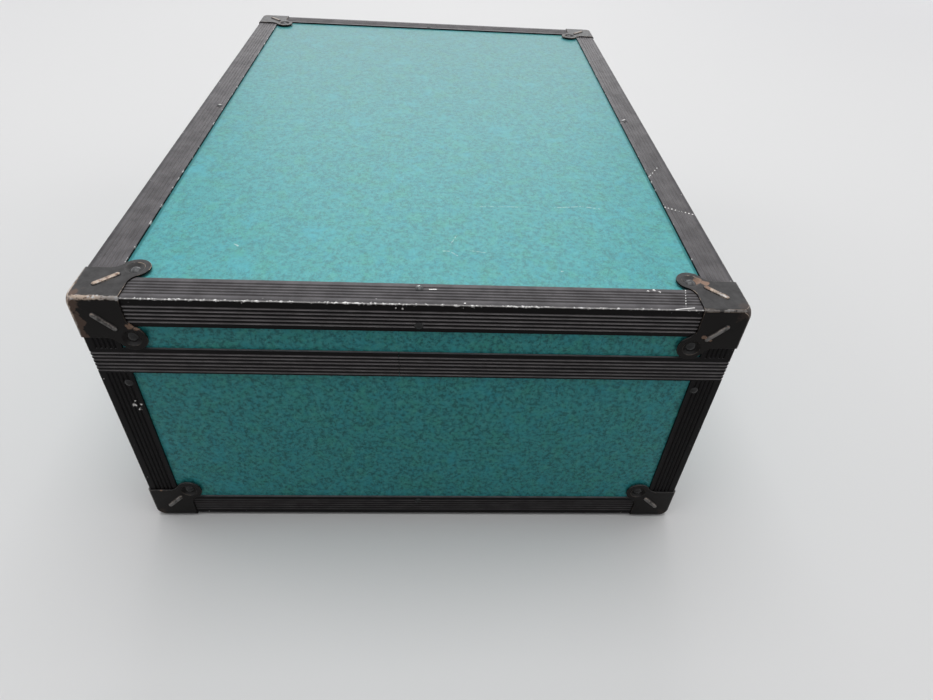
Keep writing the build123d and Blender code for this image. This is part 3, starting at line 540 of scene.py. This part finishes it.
# pressed steel with black paint, worn through on the ribs, arrises and corners
capPaint = {
    "black": (0.0068, 0.0056, 0.0052),
    "greyed": (0.074, 0.073, 0.074),
    "steel": (0.62, 0.61, 0.60),
    "silver": (0.24, 0.235, 0.23),
    "cream": (0.52, 0.42, 0.34),
    "copper": (0.27, 0.180, 0.135),
    "brown": (0.14, 0.095, 0.075),
    # crests of the ribs
    "drift": (4.0, 4.0, 0.7),
    "coarse": (15.0, 2.0, 0.5),
    "slope": (0.30, 0.80),
    "crestDrift": 1.3,
    "crestFade": (2.20, 2.75),
    "rubbedAndGlint": (6.5, 3.0, 0.6, 0.36, 0.54),
    "rubbedShare": (0.25, 1.0),
    "crestOnTop": 0.7,
    "rightShare": (-0.20, 0.20, 1.0, 0.45),
    # arrises, worn less at the other corners and beyond the tip of the leading one
    "edgeShift": 5.0,
    "leading": (-0.303, 0.215, 0.223),
    "otherCorners": (0.05, 0.12),
    "beyondTip": (0.013, 0.026),
    "lessWear": {"others": 0.75, "beyond": 0.45},
    "edgeFade": (1.5, 0.7),
    "edgeWhere": (0.34, 0.46),
    "otherEdges": 0.3,
    # browned corners and upright arrises
    "cornerDrift": 12.0,
    "cornerFade": (2.0, -2.0),
    "otherBrowned": 0.7,
    "upright": (7.0, 4.0, 0.65),
    "uprightDrift": 16.0,
    "uprightFade": (-2.5, -4.0),
    # rims
    "rimTurn": (0.97, 0.88),
    "rimWhere": (0.99, 1.12),
    "rimOuter": (1.5, 1.3),
    "rimInner": (0.85, 1.0),
    "rimBelowTop": (5.0, 1.0, 0.2, 1.0),
    "rimShare": 0.75,
    # colours of what is worn
    "patchShake": (2.5, 1.6),
    "coppered": (3.0, 3.0, 0.5, 0.48, 0.60),
    "steelWhere": (0.55, 0.66),
    "segments": (7.0, 3.0, 0.6, 0.50, 0.60),
    "creamWhere": (0.50, 0.58),
    "silverShare": 0.75,
    "dustAndSheen": (9.0, 4.0, 0.65, 0.30, 0.70),
    "dustAndSheenShare": (0.55, 1.0),
    "brownShare": 0.85,
    # surface
    "metal": 0.25,
    "rough": (0.3, 0.7, 0.28, 0.44),
    "shine": 0.11,
    "grain": (1.4, 3.0),
    "relief": 0.02,
    "patches": (
        (-304.2, 183.2, 202.2, 2.6),
        (-304.2, 179.0, 200.6, 2.3),
        (-304.2, 175.4, 199.6, 1.6),
        (-271.5, -183.0, 224.5, 3.6),
        (-274.5, -187.5, 224.5, 3.0),
        (-304.2, -184.5, 202.0, 1.8),
        (-304.2, -189.2, 199.4, 1.3),
        (-304.2, 206.0, 33.6, 1.3),
    ),
}


def capMaterial(look):
    material, tree, shader, place = startMaterial("blackCapPaint")
    depths = caseDepths(tree, place)
    proud = times(tree, faceDepth(tree, depths), -1.0)
    arris = arrisDepth(tree, depths)
    drift = noise(tree, place, *look["drift"])
    coarse = noise(tree, place, *look["coarse"])
    up = upward(tree, *look["slope"])
    # ribs worn to cream and copper on top and to dull silver on the sides, less so towards the right end
    crest = fade(tree, calc(tree, "ADD", proud, times(tree, drift, look["crestDrift"])), *look["crestFade"])
    rubbedAndGlint = blotches(tree, place, look["rubbedAndGlint"], *look["rubbedShare"])
    crest = times(tree, crest, calc(tree, "MAXIMUM", rubbedAndGlint, times(tree, up, look["crestOnTop"])))
    split = axes(tree, place)
    crest = times(tree, crest, fade(tree, split[0], *look["rightShare"]))
    # the corner that leads when the case is set down is worn the most, and brown down its upright arris
    farthest = calc(tree, "MAXIMUM", calc(tree, "MAXIMUM", depths[0], depths[1]), depths[2])
    shaken = shakenDepth(tree, arris, drift, look["edgeShift"])
    away = vectorMath(tree, "DISTANCE", place, look["leading"])
    others = fade(tree, away, *look["otherCorners"])
    beyond = fade(tree, away, *look["beyondTip"])
    less = look["lessWear"]
    thinner = calc(tree, "ADD", times(tree, others, less["others"]), times(tree, beyond, less["beyond"]))
    shaken = calc(tree, "ADD", shaken, thinner)
    edge = times(tree, fade(tree, shaken, *look["edgeFade"]), fade(tree, coarse, *look["edgeWhere"]))
    edge = times(tree, edge, allBut(tree, times(tree, others, look["otherEdges"])))
    corner = calc(tree, "SUBTRACT", farthest, times(tree, drift, look["cornerDrift"]))
    corner = fade(tree, corner, *look["cornerFade"])
    corner = times(tree, corner, allBut(tree, times(tree, others, look["otherBrowned"])))
    upright = calc(tree, "MAXIMUM", depths[0], depths[1])
    uprightNoise = noise(tree, place, *look["upright"])
    upright = calc(tree, "SUBTRACT", upright, times(tree, uprightNoise, look["uprightDrift"]))
    upright = times(tree, fade(tree, upright, *look["uprightFade"]), allBut(tree, others))
    # rims and bends, where the surface turns away from the flat faces
    normal = addNode(tree, "ShaderNodeTexCoord").outputs["Normal"]
    flat = highest(tree, axes(tree, vectorMath(tree, "ABSOLUTE", normal)))
    rim = fade(tree, flat, *look["rimTurn"])
    rim = times(tree, rim, fade(tree, calc(tree, "ADD", drift, coarse), *look["rimWhere"]))
    band = times(tree, fade(tree, proud, *look["rimOuter"]), fade(tree, proud, *look["rimInner"]))
    rim = times(tree, rim, band)
    rim = times(tree, rim, fade(tree, depths[2], *look["rimBelowTop"]))
    rough = ragged(tree, place, *look["patchShake"])
    patches = highest(tree, [spotMask(tree, rough, spot) for spot in look["patches"]])
    warm = colourMix(tree, blotches(tree, place, look["coppered"]), look["cream"], look["copper"])
    warm = colourMix(tree, fade(tree, drift, *look["steelWhere"]), warm, look["steel"])
    crestColour = colourMix(tree, up, look["silver"], warm)
    segments = blotches(tree, place, look["segments"])
    edgeColour = colourMix(tree, segments, look["brown"], look["steel"])
    edgeColour = colourMix(tree, fade(tree, drift, *look["creamWhere"]), look["cream"], edgeColour)
    edgeColour = stain(tree, edgeColour, beyond, look["silverShare"], look["silver"])
    # dust and a painted sheen grey the faces that look up
    dustAndSheen = blotches(tree, place, look["dustAndSheen"], *look["dustAndSheenShare"])
    colour = stain(tree, look["black"], dustAndSheen, up, look["greyed"])
    browned = calc(tree, "MAXIMUM", corner, upright)
    colour = stain(tree, colour, browned, look["brownShare"], look["brown"])
    colour = stain(tree, colour, rim, look["rimShare"], look["cream"])
    colour = colourMix(tree, edge, colour, edgeColour)
    colour = colourMix(tree, crest, colour, crestColour)
    colour = colourMix(tree, patches, colour, look["copper"])
    worn = highest(tree, [crest, edge])
    setShader(tree, shader, Base_Color=colour, Metallic=times(tree, worn, look["metal"]))
    setShader(tree, shader, Roughness=fade(tree, drift, *look["rough"]), Specular_IOR_Level=look["shine"])
    addBump(tree, shader, noise(tree, place, *look["grain"]), look["relief"])
    return material


# small parts: rivets, plates, wires, rubber
finishes = {
    "blackRivetSteel": {
        "colour": (0.007, 0.007, 0.007),
        "other": (0.10, 0.10, 0.10),
        "size": 2.5,
        "from": 0.60,
        "metal": 0.0,
        "rough": (0.14, 0.30),
        "relief": 0.01,
        "shine": 0.28,
        "slope": (0.5, 0.95),
        # dust and a painted sheen on up-facing heads, and painted glints on the domes
        "dustAndSheenTint": (0.075, 0.077, 0.08),
        "rubbedAndGlint": (0.80, 0.79, 0.78),
        "glintShake": (2.0, 0.4),
        "paintedGlintSpots": (
            (-284.2, 3.4, 224.2, 1.3),
            (1.2, -191.6, 224.3, 2.3),
            (1.2, 198.0, 224.3, 2.0),
            (-303.6, 5.1, 208.6, 0.9),
        ),
    },
    "blackPlateSteel": {
        "colour": (0.016, 0.016, 0.017),
        "other": (0.052, 0.050, 0.048),
        "size": 6.0,
        "from": 0.50,
        "metal": 0.0,
        "rough": (0.32, 0.50),
        "relief": 0.015,
        "shine": 0.35,
    },
    "platedWire": {
        "colour": (0.52, 0.52, 0.53),
        "other": (0.30, 0.28, 0.25),
        "size": 3.5,
        "from": 0.55,
        "metal": 1.0,
        "rough": (0.24, 0.42),
        "relief": 0.01,
        "shine": 0.5,
    },
    "footRubber": {
        "colour": (0.018, 0.018, 0.018),
        "other": (0.05, 0.05, 0.048),
        "size": 5.0,
        "from": 0.45,
        "metal": 0.0,
        "rough": (0.62, 0.82),
        "relief": 0.06,
        "shine": 0.4,
    },
    "gripPlastic": {
        "colour": (0.020, 0.020, 0.021),
        "other": (0.04, 0.04, 0.04),
        "size": 4.0,
        "from": 0.45,
        "metal": 0.0,
        "rough": (0.42, 0.60),
        "relief": 0.05,
        "shine": 0.4,
    },
}
# what they share; the grain's size is a share of the blotches' size
plainPattern = {
    "detail": 4.0,
    "roughness": 0.65,
    "width": 0.14,
    "roughFade": (0.35, 0.65),
    "grainShare": 0.3,
    "grainDetail": 3.0,
}


def plainMaterial(name):
    look, shared = finishes[name], plainPattern
    material, tree, shader, place = startMaterial(name)
    drift = noise(tree, place, look["size"], shared["detail"], shared["roughness"])
    worn = fade(tree, drift, look["from"], look["from"] + shared["width"])
    colour = colourMix(tree, worn, look["colour"], look["other"])
    if "paintedGlintSpots" in look:
        # dust and a painted sheen where the heads look up, then painted glints on the domes
        colour = colourMix(tree, upward(tree, *look["slope"]), colour, look["dustAndSheenTint"])
        rough = ragged(tree, place, *look["glintShake"])
        rubbedAndGlint = highest(tree, [spotMask(tree, rough, spot) for spot in look["paintedGlintSpots"]])
        colour = colourMix(tree, rubbedAndGlint, colour, look["rubbedAndGlint"])
    setShader(tree, shader, Base_Color=colour, Metallic=look["metal"])
    setShader(tree, shader, Roughness=fade(tree, drift, *shared["roughFade"], *look["rough"]))
    setShader(tree, shader, Specular_IOR_Level=look["shine"])
    grain = noise(tree, place, look["size"] * shared["grainShare"], shared["grainDetail"])
    addBump(tree, shader, grain, look["relief"])
    return material


foamLook = {
    "grey": (0.066, 0.066, 0.070),
    "deep": (0.014, 0.014, 0.016),
    "cell": 1.3,
    "holeFade": (0.45, 0.15),
    "holeShare": 0.6,
    "shade": (24.0, 3.0, 0.5, 0.35, 0.65),
    "shadeShare": 0.2,
    "rough": 0.95,
    "shine": 0.2,
    "relief": 0.35,
}


def foamMaterial(look):
    material, tree, shader, place = startMaterial("openCellFoam")
    cells = addNode(tree, "ShaderNodeTexVoronoi", {"Vector": place, "Scale": 1 / mm / look["cell"]})
    holes = fade(tree, cells.outputs["Distance"], *look["holeFade"])
    shade = blotches(tree, place, look["shade"], 0.0, look["shadeShare"])
    colour = colourMix(tree, shade, look["grey"], look["deep"])
    colour = stain(tree, colour, holes, look["holeShare"], look["deep"])
    setShader(tree, shader, Base_Color=colour, Roughness=look["rough"], Specular_IOR_Level=look["shine"])
    addBump(tree, shader, allBut(tree, holes), look["relief"])
    return material


materials = {
    "mottled_laminate": laminateMaterial(laminate),
    "black_anodised": anodisedMaterial(anodised),
    "black_steel": plainMaterial("blackPlateSteel"),
    "rivet_steel": plainMaterial("blackRivetSteel"),
    "plated_wire": plainMaterial("platedWire"),
    "foot_rubber": plainMaterial("footRubber"),
    "grip_plastic": plainMaterial("gripPlastic"),
    "grey_foam": foamMaterial(foamLook),
}
capFinish = capMaterial(capPaint)


def dressNodes():
    for entry in frame["record"]["subparts"]:
        name = entry["node"]
        node = cadNodes[name]
        isCap = "_cap_" in name and not name.endswith("rivets")
        node.data.materials.clear()
        node.data.materials.append(capFinish if isCap else materials[entry["material_slot"]])


dressNodes()
print("finishes made")


# ---- new pieces ----
touch = 0.0001  # in metres: vertices this close to a plane count as lying on it


def onlySelect(piece):
    bpy.ops.object.select_all(action="DESELECT")
    piece.select_set(True)
    bpy.context.view_layer.objects.active = piece


def smoothPiece(piece, degrees):
    onlySelect(piece)
    bpy.ops.object.shade_smooth_by_angle(angle=radians(degrees))


def finishPiece(piece, body, slotName, *replaced):
    onlySelect(piece)
    bpy.ops.object.transform_apply(location=True, rotation=True, scale=True)
    piece.data.materials.clear()
    piece.data.materials.append(materials[slotName])
    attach(piece, body)
    if replaced:
        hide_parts(*replaced)


def applyModifiers(piece):
    onlySelect(piece)
    for modifier in list(piece.modifiers):
        bpy.ops.object.modifier_apply(modifier=modifier.name)


# a sheet of foam, from a grid that is drawn out to its thickness
def foamBlock(name, low, high, pitch):
    size = [(b - a) for a, b in zip(low, high)]
    steps = [max(2, round(length / pitch)) for length in size[:2]]
    bpy.ops.object.select_all(action="DESELECT")
    bpy.ops.mesh.primitive_grid_add(x_subdivisions=steps[0], y_subdivisions=steps[1], size=1.0)
    block = bpy.context.object
    block.name = name
    bpy.ops.object.mode_set(mode="EDIT")
    bpy.ops.transform.resize(value=(size[0] * mm, size[1] * mm, 1.0))
    bpy.ops.mesh.extrude_region_move(TRANSFORM_OT_translate={"value": (0, 0, size[2] * mm)})
    bpy.ops.mesh.select_all(action="SELECT")
    middle = [(a + b) / 2 * mm for a, b in zip(low[:2], high[:2])]
    bpy.ops.transform.translate(value=(*middle, low[2] * mm))
    bpy.ops.mesh.normals_make_consistent(inside=False)
    bpy.ops.object.mode_set(mode="OBJECT")
    return block


# egg-crate waves hang from a sheet that is least thick between them
lidFoam = {
    "low": (-294.1, -200.8, 194.7),
    "high": (294.1, 206.4, 214.7),
    "pitch": 4.2,
    "wave": 32.0,
    "least": 10.5,
    "sharpness": 1.25,
    "smooth": 50.0,
}


def addLidFoam(form):
    foam = foamBlock("lidEggCrateFoam", form["low"], form["high"], form["pitch"])
    turns = 2 * pi / (form["wave"] * mm)
    middle = caseForm["centre"][1] * mm
    ceiling = form["high"][2] * mm
    depth = (form["high"][2] - form["low"][2]) * mm
    least = form["least"] * mm
    for vertex in foam.data.vertices:
        if vertex.co.z < ceiling - depth / 2:
            crest = (cos(vertex.co.x * turns) + cos((vertex.co.y - middle) * turns) + 2) / 4
            vertex.co.z = ceiling - least - (depth - least) * crest ** form["sharpness"]
    foam.data.update()
    smoothPiece(foam, form["smooth"])
    finishPiece(foam, "lid", "grey_foam", "lid_foam")


floorFoam = {
    "low": (-294.1, -200.8, 10.9),
    "high": (294.1, 206.4, 20.9),
    "pitch": 9.0,
    "round": 1.6,
    "dent": 0.4,
    "dentWaves": (21.0, 27.0),
    "dentStarts": (1.0, 0.5),
}
wallFoam = {
    "thick": 6.0,
    "gap": 0.3,
    "low": 20.9,
    "high": 156.7,
    "pitch": 9.0,
    "round": 1.2,
}
foamEdge = {"segments": 3, "angle": 60.0, "smooth": 50.0}


def softenFoam(foam, form):
    bevel = foam.modifiers.new("roundedEdges", "BEVEL")
    bevel.width = form["round"] * mm
    bevel.segments = foamEdge["segments"]
    bevel.limit_method = "ANGLE"
    bevel.angle_limit = radians(foamEdge["angle"])
    applyModifiers(foam)
    smoothPiece(foam, foamEdge["smooth"])


def addFloorFoam(form):
    foam = foamBlock("baseFloorFoam", form["low"], form["high"], form["pitch"])
    softenFoam(foam, form)
    waves, starts = form["dentWaves"], form["dentStarts"]
    for vertex in foam.data.vertices:  # slightly uneven where gear has lain on it
        if vertex.co.z > form["high"][2] * mm - touch:
            dent = sin(vertex.co.x * waves[0] + starts[0]) * sin(vertex.co.y * waves[1] + starts[1])
            vertex.co.z -= form["dent"] * mm * (1 + dent)
    finishPiece(foam, "base", "grey_foam", "base_floor_foam")


def addWallFoams(form):
    low, high = floorFoam["low"], floorFoam["high"]
    thick, gap = form["thick"], form["gap"]
    sheets = {
        "frontWallFoam": (low[:2], (high[0], low[1] + thick)),
        "backWallFoam": ((low[0], high[1] - thick), high[:2]),
        "leftWallFoam": ((low[0], low[1] + thick + gap), (low[0] + thick, high[1] - thick - gap)),
        "rightWallFoam": ((high[0] - thick, low[1] + thick + gap), (high[0], high[1] - thick - gap)),
    }
    for name, (near, far) in sheets.items():
        foam = foamBlock(name, (*near, form["low"]), (*far, form["high"]), form["pitch"])
        softenFoam(foam, form)
        finishPiece(foam, "base", "grey_foam", "base_wall_foam")


addLidFoam(lidFoam)
addFloorFoam(floorFoam)
addWallFoams(wallFoam)
print("foam lining made")


# moulded grip with end collars and four finger hollows underneath, recessed round the wire at its ends
gripForm = {
    "centre": (0.0, -218.7, 92.3),
    "length": 100.0,
    "sides": 40,
    "rings": 56,
    "halfDepth": 8.0,
    "halfHeight": 9.5,
    "collar": 4.5,
    "shoulder": 2.0,
    "waist": 0.86,
    "belly": 0.07,
    "hollow": 1.5,
    "fingers": 4,
    "endInset": 1.2,
    "endSlope": 1.0,
    "wire": 3.3,
    "recess": 2.5,
    "smooth": 40.0,
}


def shapeGripBody(grip, form, half):
    body = half - form["collar"] * mm
    for vertex in grip.data.vertices:
        if abs(vertex.co.x) < body:
            near = min(1.0, (body - abs(vertex.co.x)) / (form["shoulder"] * mm))
            swell = form["waist"] + (1 - form["waist"]) * (1 - near)
            swell += form["belly"] * near * cos(vertex.co.x / body * pi / 2)
            vertex.co.y *= swell
            vertex.co.z *= swell
            if vertex.co.z < 0:
                wave = (1 - cos((vertex.co.x / body + 1) * pi * form["fingers"])) / 2
                share = -vertex.co.z / (form["halfHeight"] * mm)
                vertex.co.z += form["hollow"] * mm * wave * share * near


def shapeGripEnds(grip, form, half):
    bpy.ops.object.mode_set(mode="EDIT")
    bpy.ops.mesh.select_all(action="DESELECT")
    bpy.ops.object.mode_set(mode="OBJECT")
    for face in grip.data.polygons:
        face.select = abs(face.normal.x) > 0.9 and abs(face.center.x) > half - touch
    bpy.ops.object.mode_set(mode="EDIT")
    bpy.ops.mesh.select_mode(type="FACE")
    ring = form["halfDepth"] - form["wire"] - form["endInset"]
    bpy.ops.mesh.inset(thickness=form["endInset"] * mm, use_individual=True)
    bpy.ops.mesh.inset(thickness=ring * mm, use_individual=True)
    bpy.ops.object.mode_set(mode="OBJECT")
    for vertex in grip.data.vertices:
        atEnd = abs(vertex.co.x) > half - touch
        if atEnd and vertex.co.yz.length > form["halfDepth"] * mm - 2 * touch:
            vertex.co.x *= (half - form["endSlope"] * mm) / half
    for face in grip.data.polygons:
        if face.select:
            for index in face.vertices:
                corner = grip.data.vertices[index].co
                corner.yz = corner.yz.normalized() * form["wire"] * mm
    bpy.ops.object.mode_set(mode="EDIT")
    inwards = {"value": -form["recess"] * mm}
    bpy.ops.mesh.extrude_faces_move(MESH_OT_extrude_faces_indiv={}, TRANSFORM_OT_shrink_fatten=inwards)


def addGrip(form):
    half = form["length"] / 2 * mm
    bpy.ops.object.select_all(action="DESELECT")
    bpy.ops.mesh.primitive_cylinder_add(
        vertices=form["sides"], radius=1.0, depth=2 * half, rotation=(0, pi / 2, 0)
    )
    grip = bpy.context.object
    grip.name = "mouldedGrip"
    bpy.ops.object.transform_apply(location=False, rotation=True, scale=False)
    bpy.ops.object.mode_set(mode="EDIT")
    bpy.ops.transform.resize(value=(1.0, form["halfDepth"] * mm, form["halfHeight"] * mm))
    for index in range(1, form["rings"]):
        bpy.ops.mesh.select_all(action="SELECT")
        spot = -half + 2 * half * index / form["rings"]
        bpy.ops.mesh.bisect(plane_co=(spot, 0, 0), plane_no=(1, 0, 0))
    bpy.ops.object.mode_set(mode="OBJECT")
    shapeGripBody(grip, form, half)
    shapeGripEnds(grip, form, half)
    bpy.ops.mesh.select_all(action="SELECT")
    bpy.ops.mesh.normals_make_consistent(inside=False)
    bpy.ops.transform.translate(value=[value * mm for value in form["centre"]])
    bpy.ops.object.mode_set(mode="OBJECT")
    smoothPiece(grip, form["smooth"])
    finishPiece(grip, "handle", "grip_plastic", "handle_grip")


addGrip(gripForm)
print("grip made")
